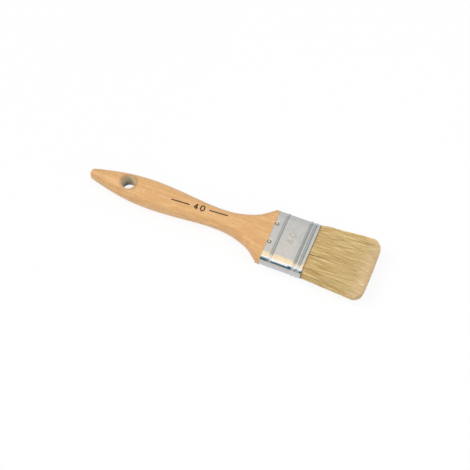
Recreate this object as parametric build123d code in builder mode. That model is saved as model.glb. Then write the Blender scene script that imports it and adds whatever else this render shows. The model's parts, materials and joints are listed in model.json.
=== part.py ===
from build123d import *
import os
from math import degrees, pi, sin

# A flat bristle paint brush: beech handle, beaded tinplate ferrule, two banks of bristle.
# Millimetres. The brush lies on its back: +X runs from the handle's tip to the bristles' tip,
# +Z out of the front face, and +Y to the left of someone who holds it and looks at the front.
# The origin is at the middle of the brush's length and width, on the surface it lies on.

# ---- Driving dimensions ----

handle_length = 130.0  # from the tip to the shoulder that meets the ferrule
ferrule_length = 28.4
bristle_length = 42.4  # free length, out of the ferrule's mouth

ferrule_width = 40.0  # the nominal size of the brush
ferrule_thickness = 12.1
sheet_thickness = 0.35  # tinplate
seam_gap = 0.15  # between the two ends of the bent strip

bead_width = 2.4
beads = [(6.2, 0.3), (22.4, 0.45), (25.5, 0.45)]  # distance from the handle's end, height

nail_inset = 1.5  # nail centres, from the ferrule's handle end
nail_head_radius = 1.3
nail_head_height = 0.4
nail_shank_radius = 0.6
nail_length = 7.0

digit_height = 4.3
digit_width = 3.4
digit_pitch = 5.6
digit_stroke = 0.6
digit_relief = 0.2
digits_from_handle = 14.1  # centre of the raised size number
digits_across = 0.6  # how far it stands to the left of the centre line

# Handle seen from the front: distance back from the shoulder, half width. Between the last
# point of the flare and the shoulder it is a short parallel land.
shoulder_land = 2.8
handle_outline = [
    (shoulder_land, 20.2),
    (4.4, 18.6),
    (7.0, 16.4),
    (11.0, 13.3),
    (18.0, 10.1),
    (26.0, 7.9),
    (36.0, 6.9),
    (48.0, 7.3),
    (64.0, 8.8),
    (82.0, 9.95),
    (98.0, 9.4),
    (112.0, 7.2),
    (122.0, 4.65),
    (handle_length, 2.8),
]
handle_thickness = ferrule_thickness
tip_thickness = 6.6  # of the handle, at the very end
tip_taper = 14.0  # length over which the handle thins towards its tip
edge_rounding = 0.92  # corner radius of the handle's section, as a share of its half thickness
nose_rounding = 2.5
shoulder_rounding = 0.4

hang_hole_radius = 4.5
hang_hole_rounding = 1.0
hang_hole_from_tip = 28.0

tenon_depth = 10.0  # of the handle, inside the ferrule
resin_depth = 7.0
root_depth = 5.0  # how deep the bristles and the plug are set in the resin
resin_skin = 0.4  # resin between the bristles' roots and the sheet

plug_width = 28.0
plug_root_thickness = 3.2
plug_edge_thickness = 0.8
plug_recess = 1.5  # from the ferrule's mouth to the plug's thin edge

bristle_spring = 3.0  # out of the mouth, over which the bristles spring apart
spring_width = 41.2
spring_lean = 1.05  # how far the middle stands to the left of the centre line there
bristle_tip_width = 46.8
bristle_tip_thickness = 8.0
bristle_tip_lean = 0.85
bristle_corner_radii = {"left": 7.5, "right": 9.5}  # of the tip, seen from the front
bristle_crown = 0.7  # how much further the middle of the tip reaches than its corners
bristle_end_radius = 3.9  # where the tips round over, seen from the side
trim_clearance = 0.05  # between the trimming outlines and the bristles' sides

cut_margin = 1.0  # how far a cutter reaches past what it cuts

# ---- Places worked out from them ----

total_length = handle_length + ferrule_length + bristle_length
tip_x = -total_length / 2
shoulder_x = tip_x + handle_length
mouth_x = shoulder_x + ferrule_length
end_x = total_length / 2
tenon_x = shoulder_x + tenon_depth
resin_x = tenon_x + resin_depth
root_x = resin_x - root_depth
hang_hole_x = tip_x + hang_hole_from_tip

tallest_bead = max(height for place, height in beads)
middle_z = ferrule_thickness / 2 + tallest_bead
inner_width = ferrule_width - 2 * sheet_thickness
inner_thickness = ferrule_thickness - 2 * sheet_thickness
nail_offsets = {"left": 8.5, "right": -5.5}  # across the front face; the back is mirrored

# Pen strokes of the figure 4 about its own middle: its stem, its slope and its bar.
pen_x = (digit_width - digit_stroke) / 2
pen_y = (digit_height - digit_stroke) / 2
stem_x = 0.55 * pen_x
bar_y = -0.45 * pen_y
four_strokes = [
    ((stem_x, -pen_y), (stem_x, pen_y)),
    ((stem_x, pen_y), (-pen_x, bar_y)),
    ((-pen_x, bar_y), (pen_x, bar_y)),
]


def across(x, y=0.0):
    """Plane across the brush at x, with its origin at mid thickness."""
    return Plane(origin=(x, y, middle_z), x_dir=(0, 1, 0), z_dir=(1, 0, 0))


def thickness_at(distance):
    """Handle thickness at a distance back from the shoulder."""
    left = handle_length - distance
    if left >= tip_taper:
        return handle_thickness
    return tip_thickness + (handle_thickness - tip_thickness) * sin(pi / 2 * left / tip_taper)


def nail_seat(face, y):
    """Plane on a broad face of the ferrule, looking out of it, at a nail's centre."""
    outward = 1 if face == "front" else -1
    z = middle_z + outward * ferrule_thickness / 2
    return Plane(origin=(shoulder_x + nail_inset, y, z), x_dir=(1, 0, 0), z_dir=(0, 0, outward))


nail_seats = {}
for side, offset in nail_offsets.items():
    nail_seats[f"front_{side}_nail"] = nail_seat("front", offset)
    nail_seats[f"back_{side}_nail"] = nail_seat("back", -offset)

# ---- Handle ----

with BuildPart() as handle:
    for distance, half_width in handle_outline:
        thickness = thickness_at(distance)
        corner = edge_rounding * min(thickness / 2, half_width)
        with BuildSketch(across(shoulder_x - distance)):
            RectangleRounded(2 * half_width, thickness, corner)
    loft()
    fillet(handle.faces().sort_by(Axis.X)[0].edges(), nose_rounding)
    extrude(handle.faces().sort_by(Axis.X)[-1], amount=shoulder_land)
    fillet(handle.faces().sort_by(Axis.X)[-1].edges(), shoulder_rounding)
    # Tenon, which the ferrule is nailed to.
    with BuildSketch(across(shoulder_x)):
        SlotOverall(inner_width, inner_thickness)
    extrude(amount=tenon_depth)
    # Hang hole: a straight bore whose rims round over into both faces.
    rim_radius = hang_hole_radius + hang_hole_rounding
    bore_half = handle_thickness / 2 - hang_hole_rounding
    cut_half = handle_thickness / 2 + cut_margin
    with BuildSketch(Plane(origin=(hang_hole_x, 0, middle_z), x_dir=(1, 0, 0), z_dir=(0, -1, 0))):
        with BuildLine():
            Line((hang_hole_radius, 0), (hang_hole_radius, bore_half))
            RadiusArc(
                (hang_hole_radius, bore_half), (rim_radius, handle_thickness / 2), hang_hole_rounding
            )
            Polyline((rim_radius, handle_thickness / 2), (rim_radius, cut_half), (0, cut_half), (0, 0))
            mirror(about=Plane.XZ)
        make_face()
    revolve(axis=Axis((hang_hole_x, 0, 0), (0, 0, 1)), mode=Mode.SUBTRACT)
    for seat in nail_seats.values():
        with BuildSketch(seat):
            Circle(nail_shank_radius)
        extrude(amount=-nail_length, mode=Mode.SUBTRACT)
handle.part.label = "handle"

# ---- Ferrule ----

# The strip's outer face runs from one side of the seam, over the front, round the right side
# and over the back to the other side of the seam, in the middle of the left side.
side_radius = ferrule_thickness / 2
side_y = ferrule_width / 2 - side_radius
seam_angle = degrees(seam_gap / 2 / side_radius)
with BuildLine(across(shoulder_x)) as strip_path:
    CenterArc((side_y, 0), side_radius, seam_angle, 90 - seam_angle)
    Line((side_y, side_radius), (-side_y, side_radius))
    CenterArc((-side_y, 0), side_radius, 90, 180)
    Line((-side_y, -side_radius), (side_y, -side_radius))
    CenterArc((side_y, 0), side_radius, -90, 90 - seam_angle)

with BuildPart() as ferrule:
    # Section through the wall: the beads stand out of the outer face and dent the inner one.
    strip_start = strip_path.line @ 0
    with BuildSketch(Plane(origin=strip_start, x_dir=(1, 0, 0), z_dir=strip_path.line % 0)):
        with BuildLine():
            for wall_face in (0.0, -sheet_thickness):
                run_start = (0.0, wall_face)
                for place, height in beads:
                    low = (place - bead_width / 2, wall_face)
                    crest = (place, wall_face + height)
                    high = (place + bead_width / 2, wall_face)
                    Line(run_start, low)
                    ThreePointArc(low, crest, high)
                    run_start = high
                Line(run_start, (ferrule_length, wall_face))
            for end in (0.0, ferrule_length):
                Line((end, 0.0), (end, -sheet_thickness))
        make_face()
    sweep(path=strip_path.line)
    # Raised size number, 40, read with the handle at the top.
    number_seat = Plane(
        origin=(
            shoulder_x + digits_from_handle,
            digits_across,
            middle_z + side_radius - sheet_thickness / 2,
        ),
        x_dir=(0, 1, 0),
        z_dir=(0, 0, 1),
    )
    with BuildSketch(number_seat):
        for stroke_start, stroke_end in four_strokes:
            stroke_middle = (Vector(stroke_start) + Vector(stroke_end)) / 2
            with Locations((-digit_pitch / 2, 0)):
                SlotCenterPoint(stroke_middle, stroke_end, digit_stroke)
        with Locations((digit_pitch / 2, 0)):
            Ellipse(digit_width / 2, digit_height / 2)
            Ellipse(digit_width / 2 - digit_stroke, digit_height / 2 - digit_stroke, mode=Mode.SUBTRACT)
    extrude(amount=sheet_thickness / 2 + digit_relief)
    for seat in nail_seats.values():
        with BuildSketch(seat):
            Circle(nail_shank_radius)
        extrude(amount=-2 * sheet_thickness, mode=Mode.SUBTRACT)
ferrule.part.label = "ferrule"

# ---- Nails ----

nails = []
for name, seat in nail_seats.items():
    with BuildPart() as nail:
        with BuildSketch(seat):
            Circle(nail_head_radius)
        extrude(amount=nail_head_height)
        rim = nail.edges().filter_by(GeomType.CIRCLE).sort_by(Axis(seat.origin, seat.z_dir))[-1]
        fillet(rim, 0.75 * nail_head_height)
        with BuildSketch(seat):
            Circle(nail_shank_radius)
        extrude(amount=-nail_length)
    nail.part.label = name
    nails.append(nail.part)

# ---- Spacer plug ----

# A wedge that parts the two banks of bristle and thins towards the mouth.
plug_edge_x = mouth_x - plug_recess
with BuildPart() as spacer_plug:
    with BuildSketch(Plane.XZ):
        with BuildLine():
            Polyline(
                (root_x, middle_z - plug_root_thickness / 2),
                (plug_edge_x, middle_z - plug_edge_thickness / 2),
                (plug_edge_x, middle_z + plug_edge_thickness / 2),
                (root_x, middle_z + plug_root_thickness / 2),
                close=True,
            )
        make_face()
    extrude(amount=plug_width / 2, both=True)
spacer_plug.part.label = "spacer_plug"

# ---- Bristles ----

# Both banks as one body, before they are parted at the middle.
with BuildPart() as bristle_pack:
    with BuildSketch(across(root_x)):
        SlotOverall(inner_width - 2 * resin_skin, inner_thickness - 2 * resin_skin)
    extrude(amount=root_depth)
    with BuildSketch(across(resin_x)):
        SlotOverall(inner_width, inner_thickness)
    extrude(amount=mouth_x - resin_x)
    with BuildSketch(across(mouth_x)):
        SlotOverall(inner_width, inner_thickness)
    with BuildSketch(across(mouth_x + bristle_spring, spring_lean)):
        SlotOverall(spring_width, inner_thickness)
    with BuildSketch(across(end_x, bristle_tip_lean)):
        SlotOverall(bristle_tip_width, bristle_tip_thickness)
    loft(ruled=True)
    # Trim the tips: rounded corners and a slight crown, seen from the front.
    with BuildSketch(Plane.XY) as tip_outline:
        with BuildLine():
            corner_x = end_x - bristle_crown
            tip_half = bristle_tip_width / 2 + trim_clearance
            spring_half = spring_width / 2 + trim_clearance
            crown_curve = ThreePointArc(
                (corner_x, bristle_tip_lean - tip_half),
                (end_x, bristle_tip_lean),
                (corner_x, bristle_tip_lean + tip_half),
            )
            Polyline(
                crown_curve @ 1,
                (mouth_x + bristle_spring, spring_lean + spring_half),
                (root_x, spring_lean + spring_half),
                (root_x, spring_lean - spring_half),
                (mouth_x + bristle_spring, spring_lean - spring_half),
                crown_curve @ 0,
            )
        make_face()
        for side, place in (("left", -1), ("right", 0)):
            corner = tip_outline.vertices().sort_by(Axis.Y)[place]
            fillet(corner, bristle_corner_radii[side])
    extrude(amount=2 * middle_z, mode=Mode.INTERSECT)
    # Round them over, seen from the side.
    with BuildSketch(Plane.XZ):
        with BuildLine():
            full_half = inner_thickness / 2 + trim_clearance
            tip_half = bristle_tip_thickness / 2 + trim_clearance
            Polyline(
                (end_x, middle_z - tip_half),
                (mouth_x + bristle_spring, middle_z - full_half),
                (root_x, middle_z - full_half),
                (root_x, middle_z + full_half),
                (mouth_x + bristle_spring, middle_z + full_half),
                (end_x, middle_z + tip_half),
                close=True,
            )
        trim = make_face()
        fillet(trim.vertices().group_by(Axis.X)[-1], bristle_end_radius)
    extrude(amount=ferrule_width, both=True, mode=Mode.INTERSECT)
    add(spacer_plug.part, mode=Mode.SUBTRACT)

banks = {}
for name, kept_side in (("front_bristles", Keep.TOP), ("back_bristles", Keep.BOTTOM)):
    with BuildPart() as bank:
        add(bristle_pack.part)
        split(bisect_by=Plane.XY.offset(middle_z), keep=kept_side)
    bank.part.label = name
    banks[name] = bank.part

# ---- Setting resin ----

with BuildPart() as setting_resin:
    with BuildSketch(across(tenon_x)):
        SlotOverall(inner_width, inner_thickness)
    extrude(amount=resin_depth)
    for bank in banks.values():
        add(bank, mode=Mode.SUBTRACT)
    add(spacer_plug.part, mode=Mode.SUBTRACT)
setting_resin.part.label = "setting_resin"

# ---- Export ----

os.makedirs("parts", exist_ok=True)
pieces = [handle.part, ferrule.part, *nails, spacer_plug.part, *banks.values(), setting_resin.part]
for piece in pieces:
    export_step(piece, f"parts/{piece.label}.step")
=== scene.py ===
"""The looks of a flat bristle paint brush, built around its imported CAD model.

The brush lies on its back on a pale floor: +X runs from the handle's tip to the bristles' tip, and +Z
out of the front face. Lengths are in metres and angles in radians, as Blender keeps them.
"""

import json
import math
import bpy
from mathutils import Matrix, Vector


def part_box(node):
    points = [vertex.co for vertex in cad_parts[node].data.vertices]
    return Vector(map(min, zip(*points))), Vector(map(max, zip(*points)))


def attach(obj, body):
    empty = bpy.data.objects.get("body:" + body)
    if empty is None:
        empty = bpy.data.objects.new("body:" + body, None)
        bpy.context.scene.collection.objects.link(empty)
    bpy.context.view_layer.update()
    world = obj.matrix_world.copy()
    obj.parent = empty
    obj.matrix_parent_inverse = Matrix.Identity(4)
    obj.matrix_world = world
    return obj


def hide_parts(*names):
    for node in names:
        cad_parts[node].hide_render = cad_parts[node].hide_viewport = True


bl_info = {
    "name": "Flat Bristle Paint Brush",
    "version": (1, 0, 0),
    "blender": (4, 5, 0),
    "location": "3D View > Sidebar > Paint Brush",
    "description": "Dresses the CAD model of a flat paint brush in beech, tinplate and hog bristle",
    "category": "Object",
}

from types import SimpleNamespace

import bpy
from bpy.props import FloatProperty, FloatVectorProperty, IntProperty, PointerProperty
from mathutils import Vector
from mathutils.bvhtree import BVHTree

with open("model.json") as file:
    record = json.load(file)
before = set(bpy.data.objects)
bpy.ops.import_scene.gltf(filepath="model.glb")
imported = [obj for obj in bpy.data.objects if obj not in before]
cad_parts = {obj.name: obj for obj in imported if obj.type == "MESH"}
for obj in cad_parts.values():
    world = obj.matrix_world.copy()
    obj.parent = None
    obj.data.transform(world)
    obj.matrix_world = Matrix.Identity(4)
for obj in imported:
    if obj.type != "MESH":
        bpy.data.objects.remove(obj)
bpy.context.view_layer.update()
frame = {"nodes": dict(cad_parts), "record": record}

MM = 0.001
BLACK = (0.0, 0.0, 0.0)

# ---- Places taken from the CAD model ----

handle_low, handle_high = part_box("handle")
ferrule_low, ferrule_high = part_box("ferrule")
shoulder_x = ferrule_low.x
mouth_x = ferrule_high.x
tips_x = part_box("front_bristles")[1].x
middle_z = (handle_low.z + handle_high.z) / 2
hang_hole = frame["record"]["mounts"][0]
hole_x, hole_y = hang_hole["pos_m"][:2]
hole_radius = hang_hole["dims"]["r_mm"] * MM


# ---- Property helpers ----


def length(name, description, default, low=0.0, high=1000.0):
    """A length, given in millimetres and kept in metres."""
    return FloatProperty(
        name=name, description=description, default=default * MM, min=low * MM, max=high * MM,
        unit="LENGTH", subtype="DISTANCE", precision=5,
    )


def share(name, description, default, low=0.0, high=1.0):
    """A plain number, usually from 0 to 1."""
    return FloatProperty(
        name=name, description=description, default=default, min=low, max=high, precision=3
    )


def angle(name, description, degrees):
    """An angle, given in degrees and kept in radians."""
    return FloatProperty(
        name=name, description=description, default=math.radians(degrees),
        unit="ROTATION", subtype="ANGLE",
    )


def colour(name, description, default):
    """A linear colour with no alpha."""
    return FloatVectorProperty(
        name=name, description=description, default=default, min=0.0, max=1.0,
        size=3, subtype="COLOR",
    )


def label(identifier):
    """The name in plain words of a value such as bead_width."""
    return identifier.replace("_", " ").title()


def plain_numbers(settings, *left_out):
    """A settings group's lengths, shares and counts by identifier."""
    return {
        prop.identifier: getattr(settings, prop.identifier)
        for prop in settings.bl_rna.properties
        if prop.type in {"FLOAT", "INT"} and not prop.is_array and prop.identifier not in left_out
    }


# ---- Node trees ----


class Number:
    """A number in a node tree. Sums written with it become Math nodes."""

    def __init__(self, tree, socket):
        self.tree = tree
        self.socket = socket

    def __neg__(self):
        return self * -1.0

    def __abs__(self):
        return maths(self.tree, "ABSOLUTE", self)


def sum_method(operation, swapped=False):
    """A method of Number that makes a Math node of it and another value."""

    def method(self, other):
        values = (other, self) if swapped else (self, other)
        return maths(self.tree, operation, *values)

    return method


SIGNS = {"add": "ADD", "sub": "SUBTRACT", "mul": "MULTIPLY", "truediv": "DIVIDE"}
for sign, operation in SIGNS.items():
    setattr(Number, f"__{sign}__", sum_method(operation))
    setattr(Number, f"__r{sign}__", sum_method(operation, swapped=True))
Number.__gt__ = sum_method("GREATER_THAN")
Number.__lt__ = sum_method("LESS_THAN")


def feed(tree, socket, value):
    """Links a socket or a Number into an input, or sets the input to a plain value."""
    if isinstance(value, Number):
        value = value.socket
    if isinstance(value, bpy.types.NodeSocket):
        tree.links.new(value, socket)
    else:
        socket.default_value = value


def add(tree, kind, inputs=None, **settings):
    """A node of that kind. inputs maps a socket's name or place to what feeds it."""
    node = tree.nodes.new(kind)
    for name, value in settings.items():
        setattr(node, name, value)
    for name, value in (inputs or {}).items():
        feed(tree, node.inputs[name], value)
    return node


def maths(tree, operation, *values):
    """A Math node, as a Number."""
    node = add(tree, "ShaderNodeMath", dict(enumerate(values)), operation=operation)
    return Number(tree, node.outputs[0])


def smaller(a, b):
    return maths(a.tree, "MINIMUM", a, b)


def larger(a, b):
    return maths(a.tree, "MAXIMUM", a, b)


def clamp(value, low, high):
    return smaller(larger(value, low), high)


def root(value):
    return maths(value.tree, "SQRT", larger(value, 0.0))


def sine(value):
    return maths(value.tree, "SINE", value)


def cosine(value):
    return maths(value.tree, "COSINE", value)


def smooth(value, start, end):
    """0 before start and 1 past end, with a smooth rise between. end may be below start."""
    inputs = {"Value": value, "From Min": start, "From Max": end}
    node = add(value.tree, "ShaderNodeMapRange", inputs, interpolation_type="SMOOTHSTEP")
    return Number(value.tree, node.outputs["Result"])


def join(tree, x, y, z):
    """A vector socket made of three numbers."""
    return add(tree, "ShaderNodeCombineXYZ", {0: x, 1: y, 2: z}).outputs[0]


def split(tree, vector):
    """The three Numbers of a vector socket."""
    node = add(tree, "ShaderNodeSeparateXYZ", {0: vector})
    return [Number(tree, socket) for socket in node.outputs]


def noise(tree, vector, detail=2.0, roughness=0.5, distortion=0.0):
    """A Noise node, whose pattern is about 1 across."""
    return add(tree, "ShaderNodeTexNoise", {
        "Vector": vector, "Scale": 1.0, "Detail": detail,
        "Roughness": roughness, "Distortion": distortion,
    })


def noise_value(tree, vector, **settings):
    """A noise around a half."""
    return Number(tree, noise(tree, vector, **settings).outputs["Fac"])


def segment_distance(x, y, start, end):
    """How far the point (x, y) is from the straight line between two points."""
    run_x, run_y = end[0] - start[0], end[1] - start[1]
    along = ((x - start[0]) * run_x + (y - start[1]) * run_y) / (run_x**2 + run_y**2)
    along = clamp(along, 0.0, 1.0)
    off_x = x - start[0] - along * run_x
    off_y = y - start[1] - along * run_y
    return root(off_x * off_x + off_y * off_y)


# ---- Geometry Nodes ----

SOCKETS = {
    float: "NodeSocketFloat",
    int: "NodeSocketInt",
    bpy.types.Material: "NodeSocketMaterial",
}


def new_rule(name, sizes):
    """A Geometry Nodes tree with a named input for each of sizes.

    Returns the tree and its inputs, each as a Number that sums or a node can take.
    """
    tree = bpy.data.node_groups.new(name, "GeometryNodeTree")
    tree.interface.new_socket("Geometry", in_out="OUTPUT", socket_type="NodeSocketGeometry")
    for identifier, value in sizes.items():
        tree.interface.new_socket(label(identifier), in_out="INPUT", socket_type=SOCKETS[type(value)])
    source = tree.nodes.new("NodeGroupInput")
    given = {identifier: Number(tree, source.outputs[label(identifier)]) for identifier in sizes}
    return tree, SimpleNamespace(**given)


def finish_rule(tree, geometry, material):
    """Ends a tree in Realize Instances and Set Material."""
    real = add(tree, "GeometryNodeRealizeInstances", {"Geometry": geometry})
    inputs = {"Geometry": real.outputs[0], "Material": material}
    painted = add(tree, "GeometryNodeSetMaterial", inputs)
    result = add(tree, "NodeGroupOutput")
    tree.links.new(painted.outputs[0], result.inputs[0])


def keep_value(tree, geometry, name, value):
    """Stores a Number on the geometry's points under a name."""
    inputs = {"Geometry": geometry, "Name": name, "Value": value}
    node = add(tree, "GeometryNodeStoreNamedAttribute", inputs, data_type="FLOAT", domain="POINT")
    return node.outputs[0]


def grid_place(tree):
    """The x and y of a grid's points, before they are moved."""
    return split(tree, tree.nodes.new("GeometryNodeInputPosition").outputs[0])[:2]


def kept_value(tree, name):
    """The Number that keep_value stored."""
    node = add(tree, "GeometryNodeInputNamedAttribute", {"Name": name}, data_type="FLOAT")
    return Number(tree, node.outputs["Attribute"])


def moved(tree, geometry, x, y, z):
    """The geometry with its points put at (x, y, z)."""
    inputs = {"Geometry": geometry, "Position": join(tree, x, y, z)}
    return add(tree, "GeometryNodeSetPosition", inputs).outputs[0]


def new_object(name, data):
    """An object in the scene for a mesh, a lamp or a camera."""
    made = bpy.data.objects.new(name, data)
    bpy.context.scene.collection.objects.link(made)
    return made


def new_mesh(name, points, faces, material):
    """A mesh object of those points and faces."""
    mesh = bpy.data.meshes.new(name)
    mesh.from_pydata(points, [], faces)
    mesh.materials.append(material)
    return new_object(name, mesh)


def grow(name, tree, sizes, wall=0.0):
    """A plain mesh object made by a Geometry Nodes tree, thickened inwards to a wall where asked."""
    piece = new_object(name, bpy.data.meshes.new(name))
    rule = piece.modifiers.new(name, "NODES")
    rule.node_group = tree
    values = {label(identifier): value for identifier, value in sizes.items()}
    for item in tree.interface.items_tree:
        if item.in_out == "INPUT":
            rule[item.identifier] = values[item.name]
    if wall:
        solid = piece.modifiers.new("Wall", "SOLIDIFY")
        solid.thickness = wall
        solid.offset = -1.0
    depsgraph = bpy.context.evaluated_depsgraph_get()
    made = piece.evaluated_get(depsgraph)
    mesh = bpy.data.meshes.new_from_object(made, preserve_all_data_layers=True, depsgraph=depsgraph)
    piece.modifiers.clear()
    piece.data = mesh
    mesh.name = name
    if not mesh.polygons:
        raise RuntimeError(f"{name}: the tree made no faces")
    return piece


def ride_root(piece, slot, *replaced):
    """The calls that every new piece of the brush needs."""
    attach(piece, "root")
    if replaced:
        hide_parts(*replaced)


# ---- Materials ----


def new_material(name, **constants):
    """A material with its Principled shader at the output, and constants set on the shader."""
    material = bpy.data.materials.new(name)
    material.use_nodes = True
    tree = material.node_tree
    tree.nodes.clear()
    shader = tree.nodes.new("ShaderNodeBsdfPrincipled")
    for identifier, value in constants.items():
        shader.inputs[label(identifier)].default_value = value
    output = tree.nodes.new("ShaderNodeOutputMaterial")
    tree.links.new(shader.outputs[0], output.inputs["Surface"])
    return material, tree, shader


def place_in_object(tree):
    """The piece's own coordinates, in metres."""
    return tree.nodes.new("ShaderNodeTexCoord").outputs["Object"]


def grain(tree, along, across, **settings):
    """A noise on the piece's own coordinates, of that size along the brush and across it."""
    inputs = {"Vector": place_in_object(tree), "Scale": (1.0 / along, 1.0 / across, 1.0 / across)}
    return noise_value(tree, add(tree, "ShaderNodeMapping", inputs).outputs[0], **settings)


def carried(tree, name):
    """The Number that keep_value stored on the piece, for its material."""
    return Number(tree, add(tree, "ShaderNodeAttribute", attribute_name=name).outputs["Fac"])


def shades(tree, amount, base, share):
    """A colour from base, where amount is 0, to a share of it, where it is 1."""
    return mix_colours(tree, amount, base, [share * part for part in base])


def mix_colours(tree, amount, first, second):
    """A colour between two, which may be sockets or tuples."""
    node = tree.nodes.new("ShaderNodeMix")
    node.data_type = "RGBA"
    colours = [socket for socket in node.inputs if socket.type == "RGBA"]
    for socket, value in zip(colours, (first, second)):
        feed(tree, socket, value if isinstance(value, bpy.types.NodeSocket) else (*value, 1.0))
    feed(tree, node.inputs[0], amount)
    return next(socket for socket in node.outputs if socket.type == "RGBA")


def bump(tree, shader, height, strength, distance):
    """Raises the shader's surface by a height pattern."""
    inputs = {"Height": height, "Strength": strength, "Distance": distance}
    node = add(tree, "ShaderNodeBump", inputs)
    tree.links.new(node.outputs[0], shader.inputs["Normal"])


def paint(piece, material):
    """Gives a CAD node its material, in place of the one it was packed with."""
    for slot in piece.material_slots:
        slot.link = "DATA"
    piece.data.materials.clear()
    piece.data.materials.append(material)


# ---- Handle ----


class HandleSettings(bpy.types.PropertyGroup):
    wood: colour("Wood", "Colour of the beech between its flecks", (0.69, 0.38, 0.145))
    wood_pale: colour("Pale wood", "Colour of the beech's light streaks", (0.81, 0.49, 0.225))
    fleck: colour("Fleck", "Colour of the short ray flecks", (0.55, 0.275, 0.095))
    bore: colour("Bore", "Colour of the bare wood in the hang hole", (0.95, 0.80, 0.53))
    # Painted shade in the hang hole: the bore darkens deep down and on the side of the handle's tip,
    # and the varnish darkens in a ring round the hole.
    bore_depth_shade: share("Bore grime", "How far the bare wood is darkened deep in the hole", 0.22)
    bore_side_shade: share("Bore wear", "How far the side that a hook rubs is darkened", 0.46)
    rim_shade: share("Rim shade", "How far the varnish is darkened round the hole", 0.3)
    fleck_length: length("Fleck length", "Length of a ray fleck along the grain", 1.8)
    fleck_width: length("Fleck width", "Width of a ray fleck across the grain", 0.42)
    varnish: share("Varnish", "Weight of the satin varnish", 0.35)
    varnish_roughness: share("Varnish roughness", "Roughness of the varnish", 0.28)


def hole_with_painted_shade(tree, sizes, place, varnished):
    """The varnished wood's colour, with bare wood in the hang hole and a ring of painted shade round
    it.

    The bore has painted shade on the side of the handle's tip and deep towards the back. The
    ring of painted shade is darkest along the handle and faintest on its right side.
    """
    x, y, z = split(tree, place)
    off_x, off_y = x - hole_x, y - hole_y
    from_hole = root(off_x * off_x + off_y * off_y)
    # Painted shade: the bare wood darkens on the side of the handle's tip and towards the back.
    wear_and_shade = smooth(off_x, 2.0 * MM, -3.5 * MM) * sizes.bore_side_shade
    bore_shade = smooth(z, 9 * MM, 2 * MM) * (wear_and_shade * 0.6 + sizes.bore_depth_shade) + wear_and_shade
    bare = mix_colours(tree, bore_shade, sizes.bore, BLACK)
    bored = smooth(from_hole, hole_radius + 0.5 * MM, hole_radius + 0.1 * MM) * 0.92
    opened = mix_colours(tree, bored, varnished, bare)
    # Painted shade: a ring on the varnish round the hole, made lopsided to follow the light.
    ring = smooth(from_hole, hole_radius + 2.6 * MM, hole_radius + 1.1 * MM)
    ring = ring * smooth(from_hole, hole_radius, hole_radius + 0.3 * MM)
    lopsided = (abs(off_x) * 0.5 + off_x * 0.1 + off_y * 0.25) / from_hole
    ring = ring * clamp(0.5 + lopsided, 0.0, 1.0)
    return mix_colours(tree, ring * sizes.rim_shade, opened, BLACK)


def beech_material(sizes):
    """Varnished beech: pale streaks along the grain, and short darker flecks."""
    material, tree, shader = new_material(
        "Varnished beech", coat_weight=sizes.varnish, coat_roughness=sizes.varnish_roughness
    )
    growth = grain(tree, 45 * MM, 2.2 * MM, detail=4.0, roughness=0.6, distortion=0.3)
    mottle = grain(tree, 9 * MM, 3.5 * MM, detail=3.0, roughness=0.6, distortion=0.6)
    flecks = grain(tree, sizes.fleck_length, sizes.fleck_width, distortion=0.2)
    pores = grain(tree, 1.6 * MM, 0.16 * MM)
    pale = smooth(growth * 0.55 + mottle * 0.45, 0.38, 0.64)
    ground = mix_colours(tree, pale, sizes.wood, sizes.wood_pale)
    flecked = mix_colours(tree, smooth(flecks, 0.50, 0.70) * 0.62, ground, sizes.fleck)
    finished = hole_with_painted_shade(tree, sizes, place_in_object(tree), flecked)
    tree.links.new(finished, shader.inputs["Base Color"])
    feed(tree, shader.inputs["Roughness"], 0.46 + flecks * 0.14)
    bump(tree, shader, pores, strength=0.25, distance=0.05 * MM)
    return material


class BRUSH_OT_handle(bpy.types.Operator):
    """Finish the milled handle in satin varnished beech"""

    bl_idname = "paint_brush.handle"
    bl_label = "Handle"

    def execute(self, context):
        paint(frame["nodes"]["handle"], beech_material(context.scene.brush_handle))
        return {"FINISHED"}


# ---- Size mark printed on the handle ----

LANES = 4  # faces across a pen stroke
FIGURE_SHAPE = 0.68  # a figure's width, as a share of its height


class MarkSettings(bpy.types.PropertyGroup):
    ink: colour("Ink", "Colour of the printed mark", (0.022, 0.017, 0.014))
    centre_from_shoulder: length("From shoulder", "From the shoulder to the mark's middle", 50.5)
    centre_across: length("Across", "How far left of the centre line the middle is", 0.2, low=-10.0)
    tilt: angle("Tilt", "Turn of the mark out of line with the handle", 3.8)
    height: length("Height", "Height of the figures", 4.7)
    stroke: length("Stroke", "Width of the pen", 0.85)
    pitch: length("Pitch", "Distance between the two figures' middles", 4.6)
    bar_length: length("Bar length", "Length of the bar on each side of the figures", 13.0)
    bar_gap: length("Bar gap", "From the figures' middle to where a bar starts", 6.8)
    film: length("Film", "How far the ink stands proud of the varnish", 0.06)


def stroke_points(start, end, steps):
    """Points along a straight pen stroke."""
    return [Vector(start).lerp(Vector(end), step / steps) for step in range(steps + 1)]


def ring_points(middle, half_width, half_height, steps):
    """Points round an ellipse. The last repeats the first."""
    turns = [2 * math.pi * step / steps for step in range(steps + 1)]
    return [
        Vector((middle[0] + half_width * math.cos(turn), middle[1] + half_height * math.sin(turn)))
        for turn in turns
    ]


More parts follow.
